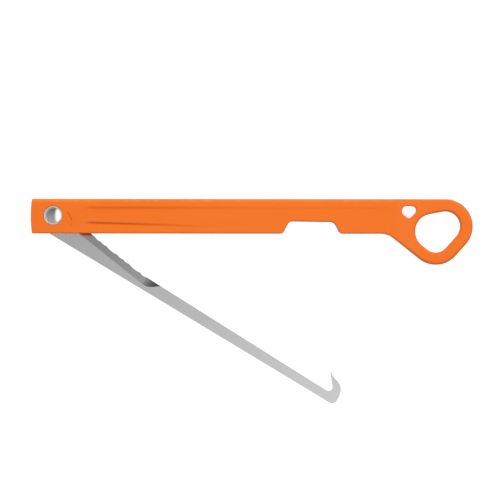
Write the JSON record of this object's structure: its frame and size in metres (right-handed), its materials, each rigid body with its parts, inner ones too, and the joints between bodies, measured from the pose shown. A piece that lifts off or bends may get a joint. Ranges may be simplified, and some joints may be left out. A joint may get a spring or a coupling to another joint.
{
  "type": "folding ice anchor threading hook",
  "caption": "Folding hook for threading ice anchors: slotted moulded handle with a clip-in eye, and a serrated steel hook blade turning on a hollow rivet.",
  "frame": {"origin": "on the pivot's axis, half way through the handle's thickness", "axes": "+X along the handle from the pivot to the eye, +Y away from the open blade, +Z out of the front face; the tool lies on its back"},
  "size_m": [0.2398, 0.111, 0.0104],
  "materials": {
    "moulded_orange": "satin moulded polyamide, solid orange",
    "blade_steel": "fine brushed stainless steel with a coarser ground bevel",
    "rivet_steel": "polished stainless steel",
    "washer_plastic": "off-white bearing plastic"
  },
  "bodies": {
    "handle": {"handle": "moulded_orange", "pivot_rivet": "rivet_steel", "rivet_backing_ring": "rivet_steel", "front_washer": "washer_plastic", "back_washer": "washer_plastic"},
    "hook": {"hook_blade": "blade_steel"}
  },
  "joints": [
    {"name": "hook_fold", "type": "hinge", "parent": "handle", "child": "hook", "pos_m": [0, 0, 0], "axis": [0, 0, 1], "range_deg": [-148.95, 31.05]}
  ]
}
